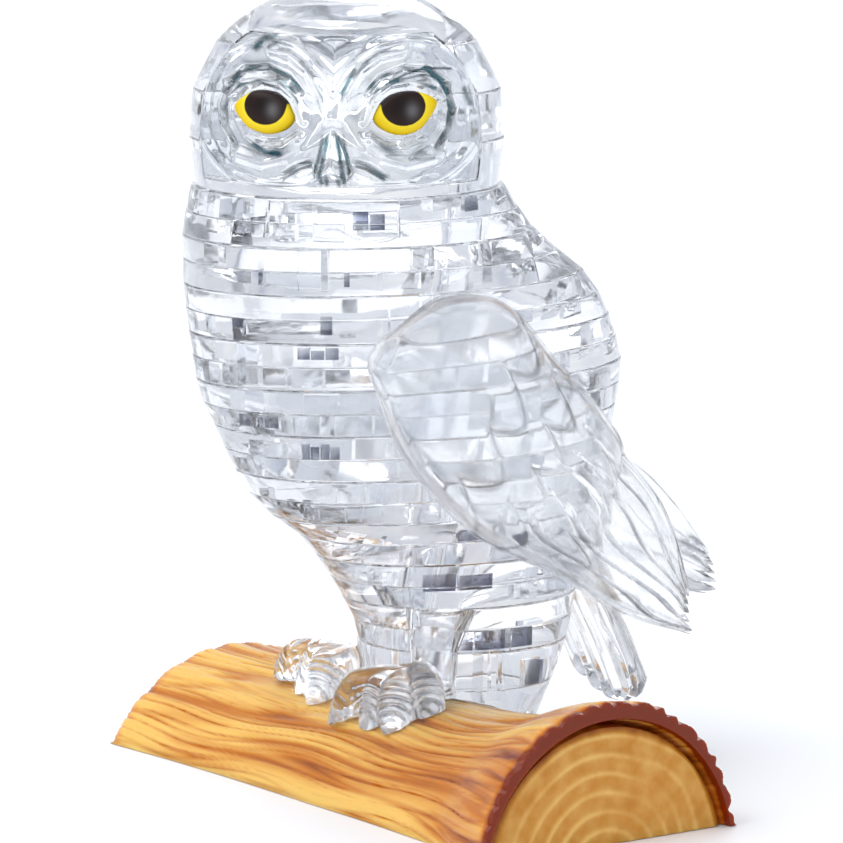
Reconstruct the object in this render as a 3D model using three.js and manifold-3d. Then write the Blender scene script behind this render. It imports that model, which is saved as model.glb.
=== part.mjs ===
// A snowy owl perched on a half log, built as a stacked puzzle of clear moulded pieces.
// Millimetres, +Z up. The origin is the centre of the log's flat underside, X runs along the log,
// and the owl's chest faces -Y while its head is turned towards +X.
import * as THREE from "three";
import { mergeVertices } from "three/addons/utils/BufferGeometryUtils.js";
import Module from "manifold-3d";

const wasm = await Module();
wasm.setup();

// ---- Driving dimensions ----
const GAP = 0.12; // clearance between stacked pieces
const FIT = 0.3; // clearance round a piece that sits in a curved seat
const FAR = 60; // larger than the object, for cutting blocks

const PERCH = [-3, 2.1, 0]; // where the owl's own axis stands on the log
const BODY_SIDES = 24;
const BODY_BASE = 7.2; // the lowest layer's lowest possible point
const LAYER_FLOOR = 11; // where the regular layers start
const LAYER = 5.55;
const LAYERS = 11;
const LAP = 4.5; // half the width of the lap joint between a layer's two pieces
// The body's cross-sections: height, half width, half depth, centre in Y.
const BODY_SECTIONS = [
  [7.2, 10, 9.6, 6.6],
  [11, 11.3, 10.9, 7],
  [14.7, 11.9, 12.3, 7.4],
  [18, 12.2, 13.2, 7.6],
  [22, 12.5, 14.8, 7],
  [29.5, 13.5, 18.8, 5.4],
  [35, 15.5, 22.9, 2.6],
  [45.5, 17.8, 26.8, 0.7],
  [49, 18.2, 27.9, 0.2],
  [55, 18.8, 27.2, -1.3],
  [60, 19, 25.7, -3.3],
  [63.5, 19, 23.2, -5.6],
  [67, 18.6, 21, -7.7],
  [72.05, 18, 18.3, -9],
];

const HEAD_FLOOR = LAYER_FLOOR + LAYER * LAYERS;
const HEAD_TOP = 95;
const HEAD_Y = -9;
const HEAD_YAW = 50.5; // degrees from -Y towards +X
const HEAD_SIDES = 24;
const HEAD_SEAMS = [HEAD_FLOOR, 77.7, 83.3, 88.9];
// The head's outline: height, radius.
const HEAD_SECTIONS = [
  [HEAD_FLOOR, 17.8],
  [75, 18.3],
  [79, 18.4],
  [83.3, 17.9],
  [87, 16.3],
  [90, 13.7],
  [92.5, 10.2],
  [94.2, 6.4],
  [HEAD_TOP, 2.5],
];
const FACE_DEPTH = 8.5; // the face plate starts this far in front of the head's axis
const FACE_FLOOR = 73.4;
const FACE_TOP = 90.2;
const EYE = { lateral: 8.1, height: 81.6, forward: 13.4, toeOut: 16 };
const EYE_HALF = { width: 3.9, height: 3.1, depth: 1.9 };

const SPINDLE_Y = 1.5;
const SPINDLE_R = 1.7;
const SPINDLE_FLOOR = 1.4;
const SPINDLE_TOP = 91;
const BORE_R = SPINDLE_R + 0.25;
const ROD_SIDES = 12;

// The log's cross-sections: place along X, half width, height.
const LOG_SECTIONS = [
  [-39.5, 17.7, 10.9],
  [-28, 16.8, 10.8],
  [-14, 16.2, 10.7],
  [0, 16, 10.8],
  [14, 15.8, 11.4],
  [26, 16, 13],
  [34, 17.4, 15.6],
  [39.5, 18.4, 17],
];
const LOG_SIDES = 18;
const LOG_WALL = 2.4;
const LOG_END_RECESS = 1.4;
const LOG_END_THICK = 2;
const LOG_FLOOR_THICK = 2.2;
const KEY_R = 3.6;
const KEY_FLOOR = 0.1;
const KEY_TOP = 1.2;
const KEY_SEAT_DEPTH = 1.3;

const WING_THICK = 3.2;
const WING_STATIONS = 12;
const WING_ROWS = 6;
// The wing's upper and lower edges, in Y and Z.
const WING_UPPER = [
  [-16.5, 56.5],
  [-10.5, 61],
  [-2.5, 60.2],
  [5.3, 53],
  [14.9, 45.1],
  [29.5, 34],
  [35.5, 26],
  [38.2, 19],
];
const WING_LOWER = [
  [-18.3, 52.4],
  [-13.3, 41.8],
  [-3.3, 32],
  [9, 26.1],
  [25, 18.2],
  [39.2, 13.4],
];
// The far wing lies a little higher and further back, and its tip crosses the owl's middle.
const WINGS = {
  wing_left: { side: 1, back: 0, lift: 0, root: 18.5, taper: 0.36 },
  wing_right: { side: -1, back: 9, lift: 3, root: 18.5, taper: 0.43 },
};
const WING_PEG = { y: 1, z: 47.1, width: 6, height: 3.6, inner: 13 };

const TAIL = { rootY: 19, rootZ: 27, tipY: 30.5, tipZ: 6, thick: 3.2, feathers: 5 };
const TAIL_HALF = { root: 6.4, tip: 5.8 };
const TAIL_LEAN = { root: 1.4, tip: 0.9 }; // how far the fan's middle lies towards the owl's left

const ANKLE = { radius: 2.6, topRadius: 3.6, top: 21.5 };
const TOE = { radius: 2.1, height: 2.7, sink: 0.4 };
// Each foot's ankle, the point its toes spread from and the toes' ends, in X and Y.
const FEET = {
  foot_left: {
    ankle: [6.5, -1.4],
    root: [6.9, -4.3],
    toes: [[0, -11.2], [6.5, -10.9], [11.4, -10.6], [13.6, -6.8]],
  },
  foot_right: {
    ankle: [-6.5, -0.4],
    root: [-8.6, -3.4],
    toes: [[-6.1, -9.6], [-11.3, -8.5], [-17.5, -6.9]],
  },
};

// ---- Materials ----
const clear = new THREE.MeshStandardMaterial({
  color: 0xe4eaf2, roughness: 0.05, metalness: 0, transparent: true, opacity: 0.4,
});
const amber = new THREE.MeshStandardMaterial({ color: 0xc98a3a, roughness: 0.25, metalness: 0 });
const rimAmber = new THREE.MeshStandardMaterial({ color: 0xd2a050, roughness: 0.2, metalness: 0 });
const eyeYellow = new THREE.MeshStandardMaterial({ color: 0xf0cf1c, roughness: 0.2, metalness: 0 });

// ---- Helpers ----

// The values of a table of cross-sections at one place, interpolated along straight lines.
function sectionAt(table, place) {
  if (place <= table[0][0]) return table[0].slice(1);
  for (let i = 1; i < table.length; i++) {
    const [low, high] = [table[i - 1], table[i]];
    if (place > high[0]) continue;
    const t = (place - low[0]) / (high[0] - low[0]);
    return low.slice(1).map((value, n) => THREE.MathUtils.lerp(value, high[n + 1], t));
  }
  return table[table.length - 1].slice(1);
}

// A closed solid through rings that have the same number of points, capped by a fan at each end.
function loft(rings) {
  const count = rings[0].length;
  const points = rings.flat();
  const faces = [];
  for (let r = 0; r + 1 < rings.length; r++) {
    for (let i = 0; i < count; i++) {
      const a = r * count + i;
      const b = r * count + ((i + 1) % count);
      faces.push([a, b, b + count], [a, b + count, a + count]);
    }
  }
  const last = (rings.length - 1) * count;
  const middle = (ring) => ring.reduce((sum, p) => sum.add(p), new THREE.Vector3()).divideScalar(count);
  points.push(middle(rings[0]), middle(rings[rings.length - 1]));
  for (let i = 0; i < count; i++) {
    const next = (i + 1) % count;
    faces.push([next, i, points.length - 2], [last + i, last + next, points.length - 1]);
  }
  return solidOf(points, faces);
}

// A manifold solid from points and triangles, turned so that its faces point out.
function solidOf(points, faces) {
  const vertProperties = new Float32Array(points.flatMap((p) => [p.x, p.y, p.z]));
  const made = new wasm.Manifold(
    new wasm.Mesh({ numProp: 3, vertProperties, triVerts: new Uint32Array(faces.flat()) }),
  );
  if (made.volume() > 0) return made;
  const turned = new Uint32Array(faces.flatMap(([a, b, c]) => [a, c, b]));
  return new wasm.Manifold(new wasm.Mesh({ numProp: 3, vertProperties, triVerts: turned }));
}

// A manifold solid from a three.js geometry.
function solidFrom(geometry) {
  const bare = geometry.clone();
  bare.deleteAttribute("normal");
  bare.deleteAttribute("uv");
  const merged = mergeVertices(bare, 1e-4);
  return new wasm.Manifold(
    new wasm.Mesh({
      numProp: 3,
      vertProperties: new Float32Array(merged.attributes.position.array),
      triVerts: new Uint32Array(merged.index.array),
    }),
  );
}

function block(low, high) {
  const size = high.map((value, i) => value - low[i]);
  const box = new THREE.BoxGeometry(...size);
  box.translate(...low.map((value, i) => value + size[i] / 2));
  return solidFrom(box);
}

function rod(radius, low, high, x, y, sides = ROD_SIDES) {
  const cylinder = new THREE.CylinderGeometry(radius, radius, high - low, sides);
  cylinder.rotateX(Math.PI / 2);
  cylinder.translate(x, y, (low + high) / 2);
  return solidFrom(cylinder);
}

// The named mesh of a solid.
function piece(name, solid, material) {
  const { vertProperties, triVerts } = solid.getMesh();
  const geometry = new THREE.BufferGeometry();
  geometry.setAttribute("position", new THREE.BufferAttribute(new Float32Array(vertProperties), 3));
  geometry.setIndex(new THREE.BufferAttribute(new Uint32Array(triVerts), 1));
  geometry.computeVertexNormals();
  const mesh = new THREE.Mesh(geometry, material);
  mesh.name = name;
  return mesh;
}

function ellipse(sides, halfX, halfY, centreX, centreY, z) {
  return Array.from({ length: sides }, (_, i) => {
    const angle = (2 * Math.PI * (i + 0.5)) / sides;
    return new THREE.Vector3(centreX + halfX * Math.cos(angle), centreY + halfY * Math.sin(angle), z);
  });
}

// ---- The log ----

// The radius of the arc over a chord.
function arcRadius(halfWidth, height) {
  return (halfWidth ** 2 + height ** 2) / (2 * height);
}

// The log grown by `grow`, between two places along X: an arc over a flat underside.
function logForm(grow, from, to) {
  const places = [from, ...LOG_SECTIONS.map(([x]) => x).filter((x) => x > from && x < to), to];
  const rings = places.map((x) => {
    const [halfWidth, height] = sectionAt(LOG_SECTIONS, x).map((value) => value + grow);
    const radius = arcRadius(halfWidth, height);
    const reach = Math.asin(halfWidth / radius);
    return Array.from({ length: LOG_SIDES + 1 }, (_, i) => {
      const angle = reach * (1 - (2 * i) / LOG_SIDES);
      const rise = radius * Math.cos(angle) - radius + height;
      return new THREE.Vector3(x, radius * Math.sin(angle), Math.max(0, rise));
    });
  });
  return loft(rings);
}

// The log as seen from the owl's own axis.
function perchForm(grow) {
  return logForm(grow, -FAR, FAR).translate(PERCH.map((value) => -value));
}

// The height of the log's bark below a point given from the owl's own axis.
function barkHeight(x, y) {
  const [halfWidth, height] = sectionAt(LOG_SECTIONS, x + PERCH[0]);
  const radius = arcRadius(halfWidth, height);
  return Math.sqrt(radius ** 2 - (y + PERCH[1]) ** 2) - radius + height;
}

function logPieces() {
  const half = LOG_SECTIONS[LOG_SECTIONS.length - 1][0];
  const endFace = half - LOG_END_RECESS;
  const endBack = endFace - LOG_END_THICK;
  const spindleHole = rod(BORE_R, -1, FAR, 0, SPINDLE_Y).translate(PERCH);
  const bark = logForm(0, -half, half)
    .subtract(logForm(-LOG_WALL, -half - 1, half + 1).translate([0, 0, -0.001]))
    .subtract(spindleHole);
  const inside = -LOG_WALL - FIT;
  const belowFloorTop = block([-FAR, -FAR, -1], [FAR, FAR, LOG_FLOOR_THICK]);
  const keySeat = rod(KEY_R + FIT, -1, KEY_SEAT_DEPTH, 0, SPINDLE_Y, BODY_SIDES).translate(PERCH);
  const floor = logForm(inside, GAP - endBack, endBack - GAP)
    .intersect(belowFloorTop)
    .subtract(keySeat)
    .subtract(spindleHole);
  return [
    piece("log_bark", bark, amber),
    piece("log_end_right", logForm(inside, endBack, endFace), rimAmber),
    piece("log_end_left", logForm(inside, -endFace, -endBack), rimAmber),
    piece("log_floor", floor, amber),
  ];
}

// The quarter-turn key in the log's underside, with a coin slot, and the spindle that it holds.
function lockPieces() {
  const slot = block([-2.6, SPINDLE_Y - 0.5, -1], [2.6, SPINDLE_Y + 0.5, 0.5]);
  const key = rod(KEY_R, KEY_FLOOR, KEY_TOP, 0, SPINDLE_Y, BODY_SIDES).subtract(slot);
  const spindle = rod(SPINDLE_R, SPINDLE_FLOOR, SPINDLE_TOP, 0, SPINDLE_Y);
  return { key: piece("lock_key", key, clear), spindle: piece("spindle", spindle, clear) };
}

// ---- The body ----

function bodyForm(grow) {
  const rings = BODY_SECTIONS.map(([z, halfX, halfY, centreY]) =>
    ellipse(BODY_SIDES, halfX + grow, halfY + grow, 0, centreY, z),
  );
  return loft(rings);
}

// One half of a layer's lap joint: a block that is wide in one half of the height and narrow in the other.
function lapBlock(low, high, side, turn) {
  const middle = (low + high) / 2;
  const [wideLow, wideHigh] = side > 0 ? [middle + GAP / 2, high] : [low, middle - GAP / 2];
  const reach = (edge) => (side > 0 ? [edge + GAP / 2, FAR] : [-FAR, edge - GAP / 2]);
  const [wideFrom, wideTo] = reach(-side * LAP);
  const [narrowFrom, narrowTo] = reach(side * LAP);
  const wide = block([wideFrom, -FAR, wideLow], [wideTo, FAR, wideHigh]);
  const narrow = block([narrowFrom, -FAR, low], [narrowTo, FAR, high]);
  return wide.add(narrow).rotate([0, 0, turn]).translate([0, SPINDLE_Y, 0]);
}

function wingPeg(side, grow) {
  const { y, z, width, height, inner } = WING_PEG;
  const [low, high] = side > 0 ? [inner - grow, 19] : [-19, -inner + grow];
  return block(
    [low, y - width / 2 - grow, z - height / 2 - grow],
    [high, y + width / 2 + grow, z + height / 2 + grow],
  );
}

function tailRoot(grow) {
  const { rootY, rootZ } = TAIL;
  return block(
    [-3 - grow, rootY - 5 - grow, rootZ - 4.5 - grow],
    [3 + grow, rootY + 4, rootZ - 1.2 + grow],
  );
}

function bodyPieces() {
  const seats = perchForm(GAP)
    .add(rod(BORE_R, -1, FAR * 2, 0, SPINDLE_Y))
    .add(wingPeg(1, GAP))
    .add(wingPeg(-1, GAP))
    .add(tailRoot(GAP))
    .add(legForm(FEET.foot_left.ankle, FIT))
    .add(legForm(FEET.foot_right.ankle, FIT));
  const form = bodyForm(0).subtract(seats);
  const pieces = [];
  for (let n = 0; n < LAYERS; n++) {
    const low = n === 0 ? BODY_BASE - 1 : LAYER_FLOOR + n * LAYER;
    const high = LAYER_FLOOR + (n + 1) * LAYER - GAP;
    const turn = n % 2 ? 90 : 0;
    const names = n % 2 ? ["front", "back"] : ["right", "left"];
    const number = String(n + 1).padStart(2, "0");
    names.forEach((name, i) => {
      const solid = form.intersect(lapBlock(low, high, i ? 1 : -1, turn));
      pieces.push(piece(`layer_${number}_${name}`, solid, clear));
    });
  }
  return pieces;
}

// ---- The head ----

function headForm() {
  const rings = HEAD_SECTIONS.map(([z, radius]) => ellipse(HEAD_SIDES, radius, radius, 0, HEAD_Y, z));
  return loft(rings);
}

// Places a solid made about the head's own axis, facing -Y, where the turned head stands.
function turnedHead(solid) {
  return solid.rotate([0, 0, HEAD_YAW]).translate([0, HEAD_Y, 0]);
}

function eyeForm(side, grow) {
  const ball = new THREE.SphereGeometry(1, 14, 8);
  ball.rotateX(Math.PI / 2);
  ball.scale(EYE_HALF.width + grow, EYE_HALF.depth + grow, EYE_HALF.height + grow);
  ball.rotateZ(THREE.MathUtils.degToRad(EYE.toeOut) * side);
  ball.translate(EYE.lateral * side, -EYE.forward, EYE.height);
  return turnedHead(solidFrom(ball));
}

function headPieces() {
  const bore = rod(BORE_R, -1, SPINDLE_TOP + 0.4, 0, SPINDLE_Y);
  const form = headForm().subtract(bore);
  const faceSpace = turnedHead(block([-FAR, -FAR, FACE_FLOOR], [FAR, -FACE_DEPTH, FACE_TOP]));
  const faceRoom = turnedHead(
    block([-FAR, -FAR, FACE_FLOOR - GAP], [FAR, -FACE_DEPTH + GAP, FACE_TOP + GAP]),
  );
  const eyes = eyeForm(1, FIT).add(eyeForm(-1, FIT));
  const face = form.intersect(faceSpace).subtract(eyes);
  const names = ["head_lower", "head_middle", "head_upper"];
  const rings = names.map((name, n) => {
    const slab = block([-FAR, -FAR, HEAD_SEAMS[n]], [FAR, FAR, HEAD_SEAMS[n + 1] - GAP]);
    return piece(name, form.intersect(slab).subtract(faceRoom), clear);
  });
  const top = block([-FAR, -FAR, HEAD_SEAMS[3]], [FAR, FAR, FAR * 2]);
  return {
    fixed: [
      ...rings,
      piece("face_plate", face, clear),
      piece("eye_left", eyeForm(1, 0), eyeYellow),
      piece("eye_right", eyeForm(-1, 0), eyeYellow),
    ],
    crown: piece("crown", form.intersect(top).subtract(faceRoom), clear),
  };
}

// ---- Wings, tail and feet ----

function bodyHalfWidthAt(y, z) {
  const [halfX, halfY, centreY] = sectionAt(BODY_SECTIONS, z);
  return halfX * Math.sqrt(Math.max(0, 1 - ((y - centreY) / halfY) ** 2));
}

function edgeCurve(points, back, lift) {
  const last = points.length - 1;
  const placed = points.map(([y, z], i) => {
    const share = (i / last) ** 2;
    return new THREE.Vector3(0, y + back * share, z + lift * share);
  });
  return new THREE.CatmullRomCurve3(placed);
}

// A leaf-shaped shell that lies on the body's side and runs free towards the tail.
function wingForm({ side, back, lift, root, taper }) {
  const upper = edgeCurve(WING_UPPER, back, lift);
  const lower = edgeCurve(WING_LOWER, back, lift);
  const rings = [];
  for (let s = 0; s <= WING_STATIONS; s++) {
    const along = s / WING_STATIONS;
    const [top, bottom] = [upper.getPoint(along), lower.getPoint(along)];
    const ring = [];
    const face = (row, outer) => {
      const across = row / WING_ROWS;
      const p = top.clone().lerp(bottom, across);
      const free = root - taper * Math.max(0, p.y);
      const out = Math.max(bodyHalfWidthAt(p.y, p.z) + WING_THICK, free);
      const crown = Math.sqrt(Math.sin(Math.PI * Math.min(0.93, Math.max(0.07, across))));
      const depth = outer ? 0.9 * (crown - 1) : -WING_THICK * crown;
      ring.push(new THREE.Vector3(side * (out + depth), p.y, p.z));
    };
    for (let row = 0; row <= WING_ROWS; row++) face(row, true);
    for (let row = WING_ROWS; row >= 0; row--) face(row, false);
    rings.push(ring);
  }
  const clearance = bodyForm(FIT);
  return loft(rings).subtract(clearance).add(wingPeg(side, 0));
}

function tailForm() {
  const { rootY, rootZ, tipY, tipZ, thick, feathers } = TAIL;
  const rings = [];
  const stations = 4;
  const slope = Math.atan2(rootZ - tipZ, tipY - rootY);
  for (let s = 0; s <= stations; s++) {
    const t = s / stations;
    const spread = THREE.MathUtils.lerp(TAIL_HALF.root, TAIL_HALF.tip, Math.sqrt(t));
    const half = spread * (s === stations ? 0.8 : 1);
    const lean = THREE.MathUtils.lerp(TAIL_LEAN.root, TAIL_LEAN.tip, t);
    const y = THREE.MathUtils.lerp(rootY, tipY, t);
    const z = THREE.MathUtils.lerp(rootZ, tipZ, t);
    const ring = [];
    const count = feathers * 2;
    const lay = (i, depth) => {
      const x = lean + half * (1 - (2 * i) / count);
      ring.push(new THREE.Vector3(x, y + depth * Math.sin(slope), z + depth * Math.cos(slope)));
    };
    for (let i = 0; i <= count; i++) lay(i, thick / 2 - (i % 2 ? 0 : 0.6));
    for (let i = count; i >= 0; i--) lay(i, -thick / 2);
    rings.push(ring);
  }
  const clearance = bodyForm(FIT);
  return loft(rings).subtract(clearance).add(tailRoot(0));
}

function legForm([x, y], grow) {
  const { radius, topRadius, top } = ANKLE;
  const rings = [
    [8, radius, y],
    [13, radius * 0.95, y],
    [17, radius, y + 0.3],
    [top, topRadius, y + 1.4],
  ].map(([z, r, centre]) => ellipse(8, r + grow, r + grow, x, centre, z));
  rings.at(-1).forEach((p) => (p.z += grow));
  return loft(rings);
}

// A humped toe that follows the bark from the foot's middle to its rounded tip.
function toeForm([rootX, rootY], [tipX, tipY]) {
  const steps = 5;
  const heading = Math.atan2(tipY - rootY, tipX - rootX);
  const across = new THREE.Vector3(-Math.sin(heading), Math.cos(heading), 0);
  const rings = [];
  for (let s = 0; s <= steps; s++) {
    const t = s / steps;
    const x = THREE.MathUtils.lerp(rootX, tipX, t);
    const y = THREE.MathUtils.lerp(rootY, tipY, t);
    const rounding = s === steps ? 0.5 : 1;
    const middle = barkHeight(x, y) + TOE.height - TOE.sink - (s === steps ? 0.9 : 0);
    const ring = Array.from({ length: 8 }, (_, i) => {
      const angle = (2 * Math.PI * i) / 8;
      const rise = middle + TOE.height * rounding * Math.sin(angle);
      return new THREE.Vector3(x, y, rise).addScaledVector(across, TOE.radius * rounding * Math.cos(angle));
    });
    rings.push(ring);
  }
  return loft(rings);
}

function footForm({ ankle, root, toes }) {
  const spread = toes.map((tip) => toeForm(root, tip)).reduce((foot, toe) => foot.add(toe));
  return spread.subtract(bodyForm(FIT)).add(legForm(ankle, 0)).subtract(perchForm(FIT));
}

// ---- The owl on its log ----
const figurine = new THREE.Group();
figurine.add(...logPieces());
const owl = new THREE.Group();
owl.position.set(...PERCH);
const lock = lockPieces();
const head = headPieces();
owl.add(lock.key, lock.spindle, ...bodyPieces(), ...head.fixed, head.crown);
for (const [name, wing] of Object.entries(WINGS)) owl.add(piece(name, wingForm(wing), clear));
owl.add(piece("tail", tailForm(), clear));
for (const [name, foot] of Object.entries(FEET)) owl.add(piece(name, footForm(foot), clear));
figurine.add(owl);

export default figurine;
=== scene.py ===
"""The looks of a clear stacked owl puzzle on an amber half log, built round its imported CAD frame.

Lengths in the tables are millimetres in the owl's own frame: its axis stands on the spindle's place along X,
and the log's frame is the row's. Everything is turned into metres when a mesh is made.
"""
import math
import random

import bmesh
import bpy
import numpy as np
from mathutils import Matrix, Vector, noise


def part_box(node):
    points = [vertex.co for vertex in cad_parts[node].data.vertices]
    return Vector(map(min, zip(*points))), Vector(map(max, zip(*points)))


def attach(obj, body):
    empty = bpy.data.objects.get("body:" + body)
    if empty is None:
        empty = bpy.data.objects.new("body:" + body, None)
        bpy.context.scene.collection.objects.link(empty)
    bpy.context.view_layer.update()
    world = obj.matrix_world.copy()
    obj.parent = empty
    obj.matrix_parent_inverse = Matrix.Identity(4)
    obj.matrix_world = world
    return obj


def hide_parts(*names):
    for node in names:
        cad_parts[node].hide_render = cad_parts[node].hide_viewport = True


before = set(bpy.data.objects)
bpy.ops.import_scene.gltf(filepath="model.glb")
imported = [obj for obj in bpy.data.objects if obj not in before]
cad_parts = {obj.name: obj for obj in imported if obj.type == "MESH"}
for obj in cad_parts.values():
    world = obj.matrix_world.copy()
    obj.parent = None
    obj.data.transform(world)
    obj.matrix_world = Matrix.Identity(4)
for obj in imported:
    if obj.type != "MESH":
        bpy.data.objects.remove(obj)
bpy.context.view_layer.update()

MM = 0.001
TAU = 2 * math.pi


# ---- Places read from the frame, in millimetres ----

def box_mm(node):
    low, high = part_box(node)
    return np.array(low) / MM, np.array(high) / MM


SPINDLE_LOW, SPINDLE_HIGH = box_mm("spindle")
SPINDLE_R = (SPINDLE_HIGH[0] - SPINDLE_LOW[0]) / 2
SPINDLE_Y = 1.5
PERCH = np.array([
    (SPINDLE_LOW[0] + SPINDLE_HIGH[0]) / 2,
    (SPINDLE_LOW[1] + SPINDLE_HIGH[1]) / 2 - SPINDLE_Y,
    0.0,
])
LAYERS = 11
GAP = 0.12
FIT = 0.3
BORE_R = SPINDLE_R + 0.25
LAP = 4.5
FAR = 60

BODY_SECTIONS = [
    (7.2, 10, 9.6, 6.6), (11, 11.3, 10.9, 7), (14.7, 11.9, 12.3, 7.4), (18, 12.2, 13.2, 7.6),
    (22, 12.5, 14.8, 7), (29.5, 13.5, 18.8, 5.4), (35, 15.5, 22.9, 2.6), (45.5, 17.8, 26.8, 0.7),
    (49, 18.2, 27.9, 0.2), (55, 18.8, 27.2, -1.3), (60, 19, 25.7, -3.3), (63.5, 19, 23.2, -5.6),
    (67, 18.6, 21, -7.7), (72.05, 18, 18.3, -9),
]
BODY_SIDES = 128

# Bricks behind the skin with painted shade on their walls: layer, angle from and to round the body in
# degrees, lower and upper height, how many bricks side by side, and how dark the painted shade is at their
# darker edge.
SHADED_BRICKS = [
    (0, 12, 48, 12.0, 14.9, 2, 1.0),
    (1, -44, 12, 16.8, 19.3, 3, 1.0),
    (2, -46, -10, 24.3, 26.5, 2, 0.95),
    (3, -22, 6, 30.8, 32.3, 2, 0.85),
    (4, -80, -68, 35.0, 36.6, 3, 0.7),
    (5, -64, -50, 41.4, 43.4, 4, 0.75),
    (6, -84, -66, 45.3, 46.8, 3, 0.75),
    (7, -57, -44, 53.5, 54.8, 3, 0.75),
    (8, -48, -44, 56.4, 58.6, 1, 0.85),
    (8, -76, -73.5, 56.2, 57.4, 1, 0.8),
    (9, -68, -66, 62.0, 63.6, 1, 0.7),
    (9, -38, -36, 62.0, 63.4, 1, 0.8),
    (10, -32, -20, 68.3, 70.5, 2, 0.85),
    (10, 13, 21, 69.7, 71.2, 1, 0.8),
]

HEAD_Y = -9
HEAD_YAW = math.radians(50.5)
HEAD_SECTIONS = [
    (72.05, 17.8), (75, 18.3), (79, 18.4), (83.3, 17.9), (87, 16.3), (90, 13.7), (92.5, 10.2),
    (94.2, 6.4), (95, 2.5),
]
HEAD_SIDES = 128
FACE_DEPTH = 8.5
FACE_FLOOR = 73.4
FACE_TOP = 90.2
EYE_LATERAL = 8.1
EYE_HEIGHT = 81.6

LOG_SECTIONS = [
    (-39.5, 17.7, 10.9), (-28, 16.8, 10.8), (-14, 16.2, 10.7), (0, 16, 10.8), (14, 15.8, 11.4),
    (26, 16, 13), (34, 17.4, 15.6), (39.5, 18.4, 17),
]
LOG_WALL = 2.4
LOG_THIN_FROM = 35.2
END_STANDS_OUT = 0.7

WING_THICK = 3.2
WING_UPPER = [
    (-16.5, 56.5), (-10.5, 61), (-2.5, 60.2), (5.3, 53), (14.9, 45.1), (29.5, 34), (35.5, 26),
    (38.2, 19),
]
WING_LOWER = [
    (-18.3, 52.4), (-13.3, 41.8), (-3.3, 32), (9, 26.1), (25, 18.2), (39.2, 13.4),
]
# Each wing's last entry is how much painted dark reflection its lower tip gets.
WINGS = {
    "wing_left": dict(side=1, back=0, lift=0, root=18.5, taper=0.36, painted_shade=0.0),
    "wing_right": dict(side=-1, back=9, lift=3, root=18.5, taper=0.43, painted_shade=0.6),
}
WING_PEG = dict(y=1, z=47.1, width=6, height=3.6, inner=13)
TAIL = dict(
    root_y=19, root_z=27, root_half=6.4, root_lean=1.4,
    tip_y=30.5, tip_z=6, tip_half=5.8, tip_lean=0.9,
    thick=3.2, feathers=5,
)
ANKLE = dict(radius=2.6, top_radius=3.6, top=21.5)
FEET = {
    "foot_left": dict(
        ankle=(6.5, -1.4),
        root=(6.9, -4.3),
        toes=[(0, -11.2), (6.5, -10.9), (11.4, -10.6), (13.6, -6.8)],
    ),
    "foot_right": dict(
        ankle=(-6.5, -0.4),
        root=(-8.6, -3.4),
        toes=[(-6.1, -9.6), (-11.3, -8.5), (-17.5, -6.9)],
    ),
}


# ---- Camera, light and floor ----

VIEW_AZIMUTH = math.radians(55)
VIEW_ELEVATION = math.radians(9)
VIEW_DISTANCE = 0.64
VIEW_LENS = 232.3


def make_camera():
    """A long lens at the height of the owl's chest, looking along the log past its taller end."""
    back = Vector((
        math.sin(VIEW_AZIMUTH) * math.cos(VIEW_ELEVATION),
        -math.cos(VIEW_AZIMUTH) * math.cos(VIEW_ELEVATION),
        math.sin(VIEW_ELEVATION),
    ))
    right = Vector((math.cos(VIEW_AZIMUTH), math.sin(VIEW_AZIMUTH), 0))
    aim = Vector((0, 0, 0.0435)) + right * 0.0013
    camera = bpy.data.objects.new("camera", bpy.data.cameras.new("camera"))
    camera.data.lens = VIEW_LENS
    camera.data.sensor_width = 36
    camera.data.clip_end = 20
    camera.location = aim + back * VIEW_DISTANCE
    camera.rotation_euler = (-back).to_track_quat("-Z", "Y").to_euler()
    bpy.context.scene.collection.objects.link(camera)
    bpy.context.scene.camera = camera


def place_light(light, place, turn):
    lamp = bpy.data.objects.new(light.name, light)
    lamp.location = place
    lamp.rotation_euler = turn
    bpy.context.scene.collection.objects.link(lamp)


def add_area_light(name, place, colour):
    """A round softbox that points at the owl's legs."""
    light = bpy.data.lights.new(name, "AREA")
    light.shape = "DISK"
    light.size = 0.5
    light.energy = 1.6
    light.color = colour
    place_light(light, place, (Vector((0, 0, 0.04)) - Vector(place)).to_track_quat("-Z", "Y").to_euler())


def add_sky_light():
    """A very soft light from above, the same all over the floor."""
    light = bpy.data.lights.new("sky_light", "SUN")
    light.energy = 1.5
    light.angle = math.radians(60)
    place_light(light, (0, 0, 0), (math.radians(24), math.radians(-14), 0))


STUDIO_BANDS = [
    (0.32, (0.01, 0.02, 0.08)),
    (0.35, (0.46, 0.50, 0.62)),
    (0.41, (0.68, 0.71, 0.78)),
    (0.6, (0.75, 0.78, 0.84)),
    (0.7, (0.95, 0.96, 0.97)),
]


def make_world():
    """A white studio, with soft grey-blue bands in what the clear plastic mirrors and bends."""
    world = bpy.data.worlds.new("studio")
    bpy.context.scene.world = world
    world.use_nodes = True
    tree = world.node_tree
    tree.nodes.clear()
    bands = fixed_noise(tree, 1.0, 1.5, (2.2, 2.2, 1.1), "Generated", 0.6)
    studio = add_node(tree, "Background", links={"Color": colour_ramp(tree, bands, STUDIO_BANDS)})
    plain = add_node(tree, "Background", {"Color": (1, 1, 1, 1)})
    seen = add_node(tree, "LightPath").outputs["Is Camera Ray"]
    mix = add_node(tree, "MixShader", links={"Fac": seen, 1: studio.outputs[0], 2: plain.outputs[0]})
    add_node(tree, "OutputWorld", links={"Surface": mix.outputs[0]})


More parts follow.
